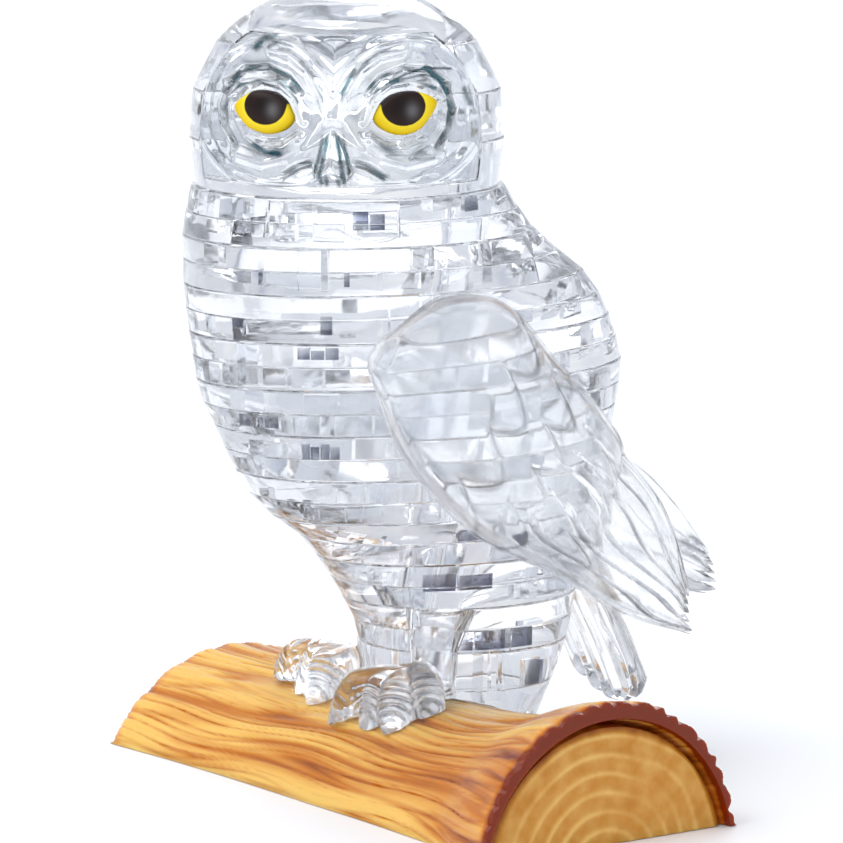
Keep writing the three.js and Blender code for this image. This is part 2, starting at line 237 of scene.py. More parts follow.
def make_floor(material):
    mesh = bpy.data.meshes.new("floor")
    half = 3.0
    corners = [(-half, -half, 0), (half, -half, 0), (half, half, 0), (-half, half, 0)]
    mesh.from_pydata(corners, [], [(0, 1, 2, 3)])
    floor = bpy.data.objects.new("floor", mesh)
    floor.location.z = -0.0001
    bpy.context.scene.collection.objects.link(floor)
    mesh.materials.append(material)


def set_light_paths():
    scene = bpy.context.scene
    scene.cycles.max_bounces = 40
    scene.cycles.transmission_bounces = 36
    scene.cycles.glossy_bounces = 12
    scene.cycles.transparent_max_bounces = 16
    scene.cycles.sample_clamp_indirect = 4
    scene.view_settings.view_transform = "Standard"


# ---- Materials ----

def set_values(node, values):
    for name, value in values.items():
        node.inputs[name].default_value = value


def add_node(tree, kind, values=None, links=None, **settings):
    """A shader node with its settings, the values of its inputs and what feeds them."""
    node = tree.nodes.new(f"ShaderNode{kind}")
    for name, value in settings.items():
        setattr(node, name, value)
    set_values(node, values or {})
    for name, source in (links or {}).items():
        tree.links.new(source, node.inputs[name])
    return node


def fill_sockets(tree, sockets, sources):
    """Gives each socket a plain value, or links it to what feeds it."""
    for socket, source in zip(sockets, sources):
        if isinstance(source, bpy.types.NodeSocket):
            tree.links.new(source, socket)
        else:
            socket.default_value = source


def add_math(tree, operation, *sources, clamp=False):
    node = add_node(tree, "Math", operation=operation, use_clamp=clamp)
    fill_sockets(tree, node.inputs, sources)
    return node.outputs["Value"]


def mix_colours(tree, factor, *sources):
    """The first colour where the factor is 0 and the second where it is 1."""
    node = add_node(tree, "Mix", links={"Factor": factor}, data_type="RGBA")
    fill_sockets(tree, [socket for socket in node.inputs if socket.type == "RGBA"], sources)
    return [socket for socket in node.outputs if socket.type == "RGBA"][0]


def colour_ramp(tree, factor, stops):
    ramp = add_node(tree, "ValToRGB", links={"Fac": factor})
    elements = ramp.color_ramp.elements
    while len(elements) < len(stops):
        elements.new(0.5)
    for element, (place, colour) in zip(elements, stops):
        element.position = place
        element.color = (*colour, 1)
    return ramp.outputs["Color"]


def attribute(tree, name):
    return add_node(tree, "Attribute", attribute_name=name).outputs["Fac"]


def fixed_noise(tree, scale, detail=2.0, stretch=(1, 1, 1), space="Object", distortion=0.0):
    """Noise fixed to the object, or to the world's own directions, with scale in features per metre."""
    coords = add_node(tree, "TexCoord").outputs[space]
    place = add_node(tree, "Mapping", {"Scale": stretch}, {"Vector": coords}).outputs["Vector"]
    values = {"Scale": scale, "Detail": detail, "Distortion": distortion}
    return add_node(tree, "TexNoise", values, {"Vector": place}).outputs["Fac"]


def new_material(name):
    """A material with an empty tree and its Principled shader."""
    material = bpy.data.materials.new(name)
    material.use_nodes = True
    tree = material.node_tree
    tree.nodes.clear()
    shader = add_node(tree, "BsdfPrincipled")
    add_node(tree, "OutputMaterial", links={"Surface": shader.outputs["BSDF"]})
    return material, tree, shader


def add_bump(tree, shader, height, strength, distance):
    bump = add_node(tree, "Bump", {"Strength": strength, "Distance": distance}, {"Height": height})
    tree.links.new(bump.outputs["Normal"], shader.inputs["Normal"])


def clear_plastic(name, tint, roughness, waviness, folds, painted_shade=(0.0, 0.003, 0.007)):
    """Moulded clear plastic: a faint tint that drifts, a slightly wavy polished skin, and painted shade from
    an attribute.
    """
    material, tree, shader = new_material(name)
    set_values(shader, {"Transmission Weight": 1, "IOR": 1.49, "Roughness": roughness})
    plain = colour_ramp(tree, fixed_noise(tree, 90), [(0.4, tint), (0.7, (0.995, 0.998, 1))])
    # Painted shade: where the attribute, times the strength, is high, the tint fades to the dark colour.
    shade_amount = add_math(tree, "MULTIPLY", attribute(tree, "shade_amount"), folds, clamp=True)
    clearness = add_math(tree, "POWER", add_math(tree, "SUBTRACT", 1, shade_amount), 4)
    tree.links.new(mix_colours(tree, clearness, (*painted_shade, 1), plain), shader.inputs["Base Color"])
    add_bump(tree, shader, fixed_noise(tree, 240), waviness, 0.0006)
    return material


AMBER_FINISH = {
    "Roughness": 0.22,
    "IOR": 1.49,
    "Subsurface Weight": 0.35,
    "Subsurface Radius": (1.0, 0.45, 0.12),
    "Subsurface Scale": 0.004,
    "Specular IOR Level": 0.25,
    "Coat Weight": 0.08,
    "Coat Roughness": 0.12,
}


def amber_plastic(name, deep, warm, light):
    """Translucent amber plastic, its colour from an attribute: painted shade in the bark's grooves, lighter
    on its ridges.
    """
    material, tree, shader = new_material(name)
    set_values(shader, AMBER_FINISH)
    streaks = fixed_noise(tree, 420, 4, (0.12, 1, 1))
    blend = add_math(tree, "MULTIPLY_ADD", streaks, 0.55, attribute(tree, "relief"))
    colour = colour_ramp(tree, blend, [(0.25, deep), (0.62, warm), (1.0, light)])
    tree.links.new(colour, shader.inputs["Base Color"])
    add_bump(tree, shader, fixed_noise(tree, 900, 3, (0.2, 1, 1)), 0.25, 0.0003)
    return material


# The eye's colours from the pupil's middle, at 0, to the iris's edge, at 1, and a painted highlight on the
# pupil.
EYE_COLOURS = [
    (0.0, (0.008, 0.005, 0.005)),
    (0.66, (0.024, 0.012, 0.009)),
    (0.685, (0.93, 0.72, 0.03)),
    (1.0, (0.75, 0.5, 0.0)),
]
EYE_PAINTED_HIGHLIGHT = (0.12, 0.115, 0.115, 1)


def printed_eye(name):
    """A glossy printed eye, with a soft painted highlight on the pupil."""
    material, tree, shader = new_material(name)
    set_values(shader, {"Roughness": 0.35, "Specular IOR Level": 0.12})
    set_values(shader, {"Coat Weight": 0.06, "Coat Roughness": 0.12})
    wobble = add_math(tree, "MULTIPLY_ADD", fixed_noise(tree, 2500), 0.02, attribute(tree, "ring"))
    # The painted highlight lightens the pupil where its attribute is high.
    colour = mix_colours(tree, attribute(tree, "painted_highlight"), colour_ramp(tree, wobble, EYE_COLOURS), EYE_PAINTED_HIGHLIGHT)
    tree.links.new(colour, shader.inputs["Base Color"])
    return material


def matt_floor(name):
    material, tree, shader = new_material(name)
    set_values(shader, {"Roughness": 0.8})
    colour = colour_ramp(tree, fixed_noise(tree, 3), [(0.3, (0.9, 0.9, 0.9)), (0.7, (0.93, 0.93, 0.93))])
    tree.links.new(colour, shader.inputs["Base Color"])
    return material


# ---- Mesh helpers ----

def smooth_table(table, place):
    """The values of a table of cross-sections at a place, along a curve that never overshoots them."""
    rows = np.array(table, float)
    xs, ys = rows[:, 0], rows[:, 1:]
    place = min(max(place, xs[0]), xs[-1])
    i = min(int(np.searchsorted(xs, place, side="right")) - 1, len(xs) - 2)
    i = max(i, 0)
    steps = np.diff(xs)
    rises = np.diff(ys, axis=0) / steps[:, None]

    def slope(n):
        if n == 0:
            return rises[0]
        if n == len(xs) - 1:
            return rises[-1]
        before, after = rises[n - 1], rises[n]
        both = before * after > 0
        total = np.where(both, before + after, 1)
        return np.where(both, 2 * before * after / total, 0)

    t = (place - xs[i]) / steps[i]
    h = steps[i]
    return (
        (2 * t ** 3 - 3 * t ** 2 + 1) * ys[i]
        + (t ** 3 - 2 * t ** 2 + t) * h * slope(i)
        + (3 * t ** 2 - 2 * t ** 3) * ys[i + 1]
        + (t ** 3 - t ** 2) * h * slope(i + 1)
    )


def spline_point(a, b, c, d, t):
    """A point between b and c on the smooth curve through four points."""
    bend = (2 * a - 5 * b + 4 * c - d) * t ** 2 + (3 * b - a - 3 * c + d) * t ** 3
    return 0.5 * (2 * b + (c - a) * t + bend)


def catmull(points, t):
    """A point on the curve through points, with t from 0 to 1 spread evenly over its spans."""
    points = np.array(points, float)
    last = len(points) - 1
    x = min(max(t, 0), 1) * last
    i = min(int(x), last - 1)
    before = points[i - 1] if i > 0 else 2 * points[0] - points[1]
    after = points[i + 2] if i + 2 <= last else 2 * points[last] - points[last - 1]
    return spline_point(before, points[i], points[i + 1], after, x - i)


def new_object(name, points, faces, on_perch=True):
    """An object from points in millimetres, in the owl's own frame or, for the log, in the row's."""
    offset = PERCH if on_perch else np.zeros(3)
    points = (np.array(points, float) + offset) * MM
    mesh = bpy.data.meshes.new(name)
    mesh.from_pydata([tuple(p) for p in points], [], faces)
    mesh.update()
    made = bpy.data.objects.new(name, mesh)
    bpy.context.scene.collection.objects.link(made)
    return made


def face_outwards(made):
    mesh = bmesh.new()
    mesh.from_mesh(made.data)
    bmesh.ops.recalc_face_normals(mesh, faces=mesh.faces)
    mesh.to_mesh(made.data)
    mesh.free()
    return made


def loft(name, rings, on_perch=True, closed=False):
    """A form through rings of points: capped flat at its ends, or closed from its last ring to its first."""
    count = len(rings[0])
    points = [p for ring in rings for p in ring]
    faces = []
    for r in range(len(rings) if closed else len(rings) - 1):
        a, b = r * count, (r + 1) % len(rings) * count
        for i in range(count):
            j = (i + 1) % count
            faces.append((a + i, a + j, b + j, b + i))
    if not closed:
        faces.append(tuple(reversed(range(count))))
        faces.append(tuple(range(len(points) - count, len(points))))
    return face_outwards(new_object(name, points, faces, on_perch))


def grid_shell(name, outer, inner, on_perch=True):
    """A closed shell between two grids of points, joined along their four edges."""
    rows, columns = len(outer), len(outer[0])
    points = [p for grid in (outer, inner) for row in grid for p in row]

    def at(r, c, side):
        return (side * rows + r) * columns + c

    faces = []
    for r in range(rows - 1):
        for c in range(columns - 1):
            faces.append((at(r, c, 0), at(r, c + 1, 0), at(r + 1, c + 1, 0), at(r + 1, c, 0)))
            faces.append((at(r, c, 1), at(r + 1, c, 1), at(r + 1, c + 1, 1), at(r, c + 1, 1)))
    rim = [(0, c) for c in range(columns)]
    rim += [(r, columns - 1) for r in range(1, rows)]
    rim += [(rows - 1, c) for c in reversed(range(columns - 1))]
    rim += [(r, 0) for r in reversed(range(1, rows - 1))]
    for (r, c), (r2, c2) in zip(rim, rim[1:] + rim[:1]):
        faces.append((at(r, c, 0), at(r2, c2, 0), at(r2, c2, 1), at(r, c, 1)))
    return face_outwards(new_object(name, points, faces, on_perch))


def sheet(name, rows, columns, place, shade="shade_amount", back_shade=0, on_perch=True):
    """A shell from a function of the shares across and along it that gives its front, back and shade."""
    spots = [[place(r / (rows - 1), c / (columns - 1)) for c in range(columns)] for r in range(rows)]
    front, back = ([[spot[k] for spot in row] for row in spots] for k in (0, 1))
    made = grid_shell(name, front, back, on_perch)
    shades = np.array([spot[2] for row in spots for spot in row])
    set_attribute(made, shade, np.concatenate([shades, shades * back_shade]))
    return made


def block(name, low, high, turn=0.0, centre=(0, 0, 0)):
    """A box between two corners, turned about Z and then moved to centre."""
    corners = [(x, y, z) for x in (low[0], high[0]) for y in (low[1], high[1]) for z in (low[2], high[2])]
    c, s = math.cos(turn), math.sin(turn)
    points = [(x * c - y * s + centre[0], x * s + y * c + centre[1], z + centre[2]) for x, y, z in corners]
    faces = [(0, 1, 3, 2), (4, 6, 7, 5), (0, 4, 5, 1), (2, 3, 7, 6), (0, 2, 6, 4), (1, 5, 7, 3)]
    return new_object(name, points, faces)


def join(name, objects):
    """One object from several, each still its own closed surface."""
    mesh = bmesh.new()
    for made in objects:
        mesh.from_mesh(made.data)
        bpy.data.objects.remove(made)
    joined = bpy.data.meshes.new(name)
    mesh.to_mesh(joined)
    mesh.free()
    made = bpy.data.objects.new(name, joined)
    bpy.context.scene.collection.objects.link(made)
    return made


def apply_modifiers(made):
    graph = bpy.context.evaluated_depsgraph_get()
    mesh = bpy.data.meshes.new_from_object(made.evaluated_get(graph))
    made.modifiers.clear()
    made.data = mesh
    return made


def combine(made, tool, operation, keep_tool=False):
    """Joins, cuts or intersects two closed forms."""
    modifier = made.modifiers.new("combine", "BOOLEAN")
    modifier.operation = operation
    modifier.solver = "MANIFOLD"
    modifier.object = tool
    apply_modifiers(made)
    if not keep_tool:
        bpy.data.objects.remove(tool)
    return made


def copy_of(made, name):
    twin = made.copy()
    twin.data = made.data.copy()
    twin.name = name
    bpy.context.scene.collection.objects.link(twin)
    return twin


def finish_piece(made, name, material, body, nodes, sharp=32):
    """Names a piece, shades it, and says what it rides on and stands for."""
    made.name = name
    made.data.name = name
    made.data.materials.clear()
    made.data.materials.append(material)
    made.data.polygons.foreach_set("material_index", [0] * len(made.data.polygons))
    made.data.shade_smooth()
    made.data.set_sharp_from_angle(angle=math.radians(sharp))
    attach(made, body)
    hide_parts(*nodes)
    return made


def ellipse(sides, half_x, half_y, centre_x, centre_y, z):
    return [
        (centre_x + half_x * math.cos(TAU * i / sides), centre_y + half_y * math.sin(TAU * i / sides), z)
        for i in range(sides)
    ]


def rod(name, radius, low, high, x, y, sides=48, rounding=0.0):
    ends = [(low + rounding, radius), (high - rounding, radius)]
    if rounding:
        ends = [(low, radius - rounding), *ends, (high, radius - rounding)]
    return loft(name, [ellipse(sides, r, r, x, y, z) for z, r in ends])


# ---- The log ----

def arc_radius(half_width, height):
    return (half_width ** 2 + height ** 2) / (2 * height)


def log_arc(x, share, grow=0.0):
    """A point on the log's arc at x, a share from 0 to 1 of the way over it, and its outward direction."""
    half_width, height = smooth_table(LOG_SECTIONS, x) + grow
    radius = arc_radius(half_width, height)
    angle = math.asin(half_width / radius) * (1 - 2 * share)
    out = np.array([0, math.sin(angle), math.cos(angle)])
    return np.array([x, 0, height - radius]) + out * radius, out


def bark_height(x, y, grow=0.0):
    half_width, height = smooth_table(LOG_SECTIONS, x + PERCH[0]) + grow
    radius = arc_radius(half_width, height)
    return math.sqrt(max(radius ** 2 - (y + PERCH[1]) ** 2, 0)) - radius + height


def bark_relief(x, along_arc):
    """How deep the bark is cut, 0 on a ridge to 1 in a groove: long furrows that wander along the log."""
    drift = 0.8 * math.sin(x * 0.09 + 1.3) + 0.5 * math.sin(x * 0.21 + along_arc * 0.2)
    place = along_arc + drift
    coarse = noise.noise(Vector((x * 0.03, place * 0.33, 1.7)))
    furrow = 1 - abs(noise.noise(Vector((x * 0.035, place * 0.62, 6.2)))) * 4.5
    fine = 1 - abs(noise.noise(Vector((x * 0.06, place * 1.3, 9.4)))) * 5.0
    depth = 0.3 + 0.55 * coarse + 0.45 * max(furrow, 0) + 0.25 * max(fine, 0)
    return min(max(depth, 0), 1)


def end_scallop(x, along_arc):
    """How far the torn bark rim stands back at the log's two ends, in millimetres."""
    half = LOG_SECTIONS[-1][0]
    near = max(0.0, 1 - (half - abs(x)) / 1.9)
    wave = abs(math.sin(along_arc * 1.25 + 0.6 * math.sin(along_arc * 0.7)))
    return near ** 2 * (0.25 + 0.55 * (1 - wave) if x > 0 else 0.5)


ARC_LENGTH = 52


def bark_point(x, share):
    nominal, out = log_arc(x, share)
    depth = 0.5 * bark_relief(x, share * ARC_LENGTH) + end_scallop(x, share * ARC_LENGTH)
    fade = min(1.0, min(share, 1 - share) / 0.01)
    point = nominal - out * depth * (0.25 + 0.75 * fade)
    point[2] = max(point[2], 0)
    return point


def end_wall(x, share):
    """The shell's thickness: the same all along, but thinner at its two feet where an end plate sits."""
    near = min(1.0, max(0.0, (abs(x) - LOG_THIN_FROM) / 0.8))
    return LOG_WALL * (1 - 0.55 * near * (1 - math.sin(math.pi * share) ** 0.8))


def make_bark(material):
    columns, rows = 180, 240
    half = LOG_SECTIONS[-1][0]
    xs = np.linspace(-half, half, columns)
    shares = np.linspace(0, 1, rows)
    outer = [[bark_point(x, s) for x in xs] for s in shares]
    inner = []
    for s in shares:
        row = [log_arc(x, s, -end_wall(x, s))[0] for x in xs]
        for p in row:
            p[2] = max(p[2], 0)
        inner.append(row)
    made = grid_shell("log_bark_skin", outer, inner, on_perch=False)
    # The paint: painted shade in the grooves, darker towards the ends and towards +X, long streaks, and
    # painted shade on the inner skin near the ends.
    paint = []
    for skin in (0, 1):
        for s in shares:
            for x in xs:
                groove = bark_relief(x, s * ARC_LENGTH)
                edge = 0.8 * max(0.0, 1 - (half - x) / 1.1) + 0.3 * max(0.0, 1 - (half + x) / 2.2)
                near = max(0.0, min(1.0, (x + 6) / 40))
                streak = noise.noise(Vector((x * 0.05, s * 21, 3.3)))
                paint.append(0.84 - 0.5 * groove - edge - 0.2 * near + 0.3 * streak - 0.6 * skin * edge)
    set_attribute(made, "relief", paint)
    combine(made, rod("spindle_hole", BORE_R, -1, 30, 0, SPINDLE_Y), "DIFFERENCE")
    return finish_piece(made, "bark_shell", material, "figurine", ["log_bark"], 50)


def set_attribute(made, name, values):
    attribute = made.data.attributes.new(name, "FLOAT", "POINT")
    attribute.data.foreach_set("value", np.array(values, np.float32))


def ring_relief(y, z):
    """The growth rings on the log's end: thin raised lines, centred low, that fade in and out."""
    radius = math.hypot(y * 0.95, z + 2.5) + 0.5 * noise.noise(Vector((y * 0.12, z * 0.12, 4.0)))
    line = abs((radius / 2.15) % 1 - 0.5) * 2
    strength = 0.55 + 0.9 * noise.noise(Vector((y * 0.1, z * 0.1, 8.0)))
    return min(max(strength, 0.1), 1) * bell(line - 1, 0.3)


def make_log_end(name, node, material):
    """An end plate: an arc-shaped face with raised growth rings, over a flat back."""
    low, high = box_mm(node)
    front_x, back_x = (high[0], low[0]) if high[0] > 0 else (low[0], high[0])
    direction = 1 if front_x > back_x else -1
    front_x += direction * END_STANDS_OUT
    centre = np.array([0, low[2]])

    def place(down, share):
        f = 0.015 + 0.985 * down
        edge = log_arc(back_x, share, -end_wall(back_x, share) - FIT)[0][1:]
        edge[1] = max(edge[1], low[2])
        y, z = centre + (edge - centre) * f
        relief = ring_relief(y, z)
        rim = max(0.0, (f - 0.93) / 0.07)
        sunk = 0.25 * (1 - relief) + 0.25 * rim ** 2
        return (front_x - direction * sunk, y, z), (back_x, y, z), 0.42 + 0.5 * relief - 0.4 * rim

    made = sheet(name, 80, 150, place, "relief", 1, False)
    return finish_piece(made, name, material, "figurine", [node], 50)


def perch_form(grow):
    """The plain log under the owl, as a cutting form."""
    rings = []
    for x in np.linspace(-38, 38, 30):
        arc = [log_arc(x, s, grow)[0] for s in np.linspace(0, 1, 60)]
        rings.append([(p[0], p[1], max(p[2], 0)) for p in arc])
    return loft("perch", rings, on_perch=False)


# ---- The body ----

SEAM_PROFILE = [(0.0, 0.16), (0.04, 0.07), (0.1, 0.02), (0.2, 0.0)]
SCORE_DEPTH = 0.05


def body_ring(z, inset):
    half_x, half_y, centre_y = smooth_table(BODY_SECTIONS, z)
    return ellipse(BODY_SIDES, half_x - inset, half_y - inset, 0, centre_y, z)


def body_clearance(low, high, steps):
    """The body, a little larger, as a cutting form."""
    return loft("clearance", [body_ring(z, -FIT) for z in np.linspace(low, high, steps)])


def layer_slab(name, low, high):
    """A whole layer: rounded at its two seams, and scored round its middle where the lap joint ends."""
    middle = (low + high) / 2
    levels = [(low + d, inset) for d, inset in SEAM_PROFILE]
    levels += [(middle - d, inset + SCORE_DEPTH * (d == 0)) for d, inset in reversed(SEAM_PROFILE)]
    levels += [(middle + d, inset) for d, inset in SEAM_PROFILE[1:]]
    levels += [(high - d, inset) for d, inset in reversed(SEAM_PROFILE)]
    return loft(name, [body_ring(z, inset) for z, inset in levels])


def lap_prism(side, turn, low, high):
    """The half of the layer on one side of its lap joint, as a stepped prism."""
    middle = (low + high) / 2
    half_gap = GAP / 2
    if side < 0:
        outline = [(-FAR, low - 1), (LAP - half_gap, low - 1), (LAP - half_gap, middle - half_gap)]
        outline += [(-LAP - half_gap, middle - half_gap), (-LAP - half_gap, high + 1), (-FAR, high + 1)]
    else:
        outline = [(FAR, high + 1), (-LAP + half_gap, high + 1), (-LAP + half_gap, middle + half_gap)]
        outline += [(LAP + half_gap, middle + half_gap), (LAP + half_gap, low - 1), (FAR, low - 1)]
    c, s = math.cos(turn), math.sin(turn)
    rings = [[(u * c - v * s, u * s + v * c + SPINDLE_Y, z) for u, z in outline] for v in (-FAR, FAR)]
    return loft("lap", rings)


def pocket_at(section, angle, inset, size, bottom, top):
    """An upright box of a depth and width behind the skin, square to it, at an angle round the body."""
    half_x, half_y, centre_y = section
    across_x, across_y = half_x - inset, half_y - inset
    x, y = across_x * math.cos(angle), centre_y + across_y * math.sin(angle)
    normal = math.atan2(across_x * math.sin(angle), across_y * math.cos(angle))
    half = (size[0] / 2, size[1] / 2)
    made = block("pocket", (-half[0], -half[1], bottom), half + (top,), normal, (x, y, 0))
    return made, math.hypot(x, y - SPINDLE_Y)


def arc_step(section, angle, inset):
    """How far the skin runs per radian at an angle round the body."""
    return math.hypot((section[0] - inset) * math.sin(angle), (section[1] - inset) * math.cos(angle))


SHADED_INSET = 2.4
SHADED_EDGES = [(1, 0.25), (0.3, 1), (0.8, 0.5)]


def shaded_pockets(layer, section, shuffle):
    """A layer's painted-shade sockets, the shades of their corners and the spans round the body they take up.
    """
    pockets, corners, taken = [], [], []
    for place, start, stop, bottom, top, count, shade in SHADED_BRICKS:
        if place != layer:
            continue
        step = math.radians(stop - start) / count
        for i in range(count):
            angle = math.radians(start) + step * (i + 0.5)
            size = (0.9 + 0.4 * (i % 2), step * arc_step(section, angle, SHADED_INSET) * 0.93)
            made, _ = pocket_at(section, angle, SHADED_INSET, size, bottom, top - 0.3 * (i % 2))
            edges = shuffle.choice(SHADED_EDGES)
            for n, v in enumerate(made.data.vertices):
                corners.append((v.co.copy(), shade * edges[n % 2] * (1 if n // 2 % 2 else 0.6)))
            pockets.append(made)
        taken.append((math.radians(start - 7), math.radians(stop + 7)))
    return pockets, corners, taken


def make_pockets(layer, low, high):
    """The sockets round a layer: ones with painted shade, upright slots behind its skin and blind boxes
    further in.
    """
    shuffle = random.Random(100 + layer)
    middle = (low + high) / 2
    section = smooth_table(BODY_SECTIONS, middle)
    pockets, corners, taken = shaded_pockets(layer, section, shuffle)
    left_out = shuffle.random() * 0.35
    for row, (inset, count) in enumerate([(3.0, 18 + 3 * (layer % 3)), (7.6, 9)]):
        if section[0] - inset < 4.5:
            continue
        step = TAU / count
        for i in range(count):
            angle = (step * (i + 0.5 + shuffle.uniform(-0.12, 0.12)) + math.pi) % TAU - math.pi
            width = step * arc_step(section, angle, inset) * shuffle.uniform(0.35, 0.78)
            depth = shuffle.uniform(0.9, 1.7) + 0.6 * row
            kind = shuffle.random()
            if shuffle.random() < left_out or row == 0 and any(a < angle < b for a, b in taken):
                continue
            bottom = middle + 0.35 if 0.4 <= kind <= 0.8 else low + 0.5
            top = middle - 0.35 if kind < 0.4 else high - 0.5
            if layer == 0:
                x = (section[0] - inset - depth) * math.cos(angle)
                y = section[2] + (section[1] - inset - depth) * math.sin(angle)
                bottom = max(bottom, bark_height(x, y) + 1.6)
            if top - bottom < 0.8:
                continue
            made, from_spindle = pocket_at(section, angle, inset, (depth, width), bottom, top)
            if from_spindle < BORE_R + 2.4:
                bpy.data.objects.remove(made)
            else:
                pockets.append(made)
    return join("pockets", pockets), corners


def paint_wall_shade(made, corners):
    """Gives the walls of the shaded pockets their painted shade, from one edge to the other."""
    points = np.array([v.co for v in made.data.vertices])
    shade_amount = np.zeros(len(points))
    for corner, shade in corners:
        shade_amount[np.abs(points - np.array(corner)).max(axis=1) < 0.02 * MM] = shade
    set_attribute(made, "shade_amount", shade_amount)


def wing_peg(side, grow):
    low, high = (WING_PEG["inner"] - grow, 19) if side > 0 else (-19, -WING_PEG["inner"] + grow)
    half_y, half_z = WING_PEG["width"] / 2 + grow, WING_PEG["height"] / 2 + grow
    y, z = WING_PEG["y"], WING_PEG["z"]
    return block("peg", (low, y - half_y, z - half_z), (high, y + half_y, z + half_z))


def tail_root(grow):
    y, z = TAIL["root_y"], TAIL["root_z"]
    return block("root", (-3 - grow, y - 5 - grow, z - 4.5 - grow), (3 + grow, y + 4, z - 1.2 + grow))


def leg_rings(ankle, grow, sides=40):
    (x, y), radius = ankle, ANKLE["radius"]
    stations = [(8, radius, y), (13, radius * 0.95, y), (17, radius, y + 0.3), (19.5, radius * 1.2, y + 0.9)]
    stations += [(ANKLE["top"] + grow, ANKLE["top_radius"], y + 1.4)]
    return [ellipse(sides, r + grow, r + grow, x, centre, z) for z, r, centre in stations]


def neck_frame():
    """The groove round the locking tab high on the chest: an oblong with a lower edge that bows up."""
    outline = [(-7.6, 71.5), (-7.6, 67.9)]
    outline += [(x, 67.3 + 1.5 * bell(x, 2.2) + 0.5 * (abs(x) / 7) ** 6) for x in np.linspace(-7.0, 7.0, 29)]
    outline += [(7.6, 67.9), (7.6, 71.5)]
    centre = np.array([0, 69.6])
    rings = []
    for grow, radius in ((0.0, 22.0), (0.0, 17.9), (0.28, 17.9), (0.28, 22.0)):
        ring = []
        for u, z in outline:
            away = np.array([u, z]) - centre
            u, z = centre + away + grow * np.sign(away)
            turn = HEAD_YAW + u / 18.4
            ring.append((radius * math.sin(turn), HEAD_Y - radius * math.cos(turn), z))
        rings.append(ring)
    return loft("neck_frame", rings, closed=True)


def make_layers(material):
    cuts = [
        perch_form(GAP),
        rod("bore", BORE_R, -1, 90, 0, SPINDLE_Y),
        wing_peg(1, GAP),
        wing_peg(-1, GAP),
        tail_root(GAP),
        *[loft("leg_seat", leg_rings(foot["ankle"], FIT)) for foot in FEET.values()],
    ]
    spans = [box_of(cut) for cut in cuts]
    for n in range(LAYERS):
        number = f"{n + 1:02d}"
        names = ["front", "back"] if n % 2 else ["right", "left"]
        nodes = [f"layer_{number}_{name}" for name in names]
        high = box_mm(nodes[0])[1][2]
        low = BODY_SECTIONS[0][0] if n == 0 else box_mm(nodes[0])[0][2]
        slab = layer_slab("slab", low, high)
        for cut, (bottom, top) in zip(cuts, spans):
            if bottom < high and top > low:
                combine(slab, cut, "DIFFERENCE", keep_tool=True)
        pockets, walls_shade = make_pockets(n, low, high)
        combine(slab, pockets, "DIFFERENCE")
        if n == LAYERS - 1:
            combine(slab, neck_frame(), "DIFFERENCE")
        turn = math.pi / 2 if n % 2 else 0.0
        for name, node, side in zip(names, nodes, (-1, 1)):
            made = copy_of(slab, node)
            combine(made, lap_prism(side, turn, low, high), "INTERSECT")
            # Painted shade on the walls of the shaded sockets.
            paint_wall_shade(made, walls_shade)
            finish_piece(made, f"body_{number}_{name}", material, "figurine", [node])
        bpy.data.objects.remove(slab)
    for cut in cuts:
        bpy.data.objects.remove(cut)


def box_of(made):
    heights = [v.co.z / MM for v in made.data.vertices]
    return min(heights), max(heights)


# ---- The head ----

def turn_head(points):
    """Points made about the head's axis, with the face towards -Y, where the turned head stands."""
    c, s = math.cos(HEAD_YAW), math.sin(HEAD_YAW)
    return [(x * c - y * s, x * s + y * c + HEAD_Y, z) for x, y, z in points]


def head_radius(z):
    return float(smooth_table(HEAD_SECTIONS, z)[0])


def head_slab(name, low, high, closed_top=False):
    levels = [(low + d, inset) for d, inset in SEAM_PROFILE]
    if closed_top:
        levels += [(z, 0) for z in high - (high - low - 0.8) * np.linspace(1, 0.055, 60) ** 2]
    else:
        levels += [(high - d, inset) for d, inset in reversed(SEAM_PROFILE)]
    rings = []
    for z, inset in levels:
        radius = head_radius(z) - inset
        if closed_top and z > high - 1.5:
            radius = head_radius(high - 1.5) * math.sqrt((high - z) / 1.5)
        rings.append(ellipse(HEAD_SIDES * (2 if closed_top else 1), radius, radius, 0, HEAD_Y, z))
    return loft(name, rings)


def make_head_rings(material):
    low, high = FACE_FLOOR - GAP, FACE_TOP + GAP
    space = block("face_space", (-FAR, -FAR, low), (FAR, -FACE_DEPTH + GAP, high), HEAD_YAW, (0, HEAD_Y, 0))
    bore = rod("bore", BORE_R, 60, SPINDLE_HIGH[2] + 0.4, 0, SPINDLE_Y)
    for node in ("head_lower", "head_middle", "head_upper", "crown"):
        body = "crown" if node == "crown" else "figurine"
        bottom, top = (corner[2] for corner in box_mm(node))
        made = head_slab(node, bottom, top, node == "crown")
        combine(made, space, "DIFFERENCE", keep_tool=True)
        combine(made, bore, "DIFFERENCE", keep_tool=True)
        if node != "crown":
            combine(made, head_pockets(node, bottom, top), "DIFFERENCE")
        finish_piece(made, f"skull_{node}", material, body, [node])
    bpy.data.objects.remove(space)
    bpy.data.objects.remove(bore)


def head_pockets(name, low, high):
    shuffle = random.Random(name)
    pockets = []
    for i in range(9):
        angle = HEAD_YAW + math.pi / 2 + math.radians(-78 + 156 * i / 8)
        radius = head_radius(high) - 4.2
        x, y = radius * math.cos(angle), HEAD_Y + radius * math.sin(angle)
        if math.hypot(x, y - SPINDLE_Y) < BORE_R + 3.2:
            continue
        half = (shuffle.uniform(0.5, 0.9), shuffle.uniform(0.8, 1.7))
        bottom = low + (0.6 if i % 2 else 2.6)
        pockets.append(block("pocket", (-half[0], -half[1], bottom), half + (high - 0.6,), angle, (x, y, 0)))
    return join("pockets", pockets)


def bell(value, width):
    return np.exp(-((value / width) ** 2))


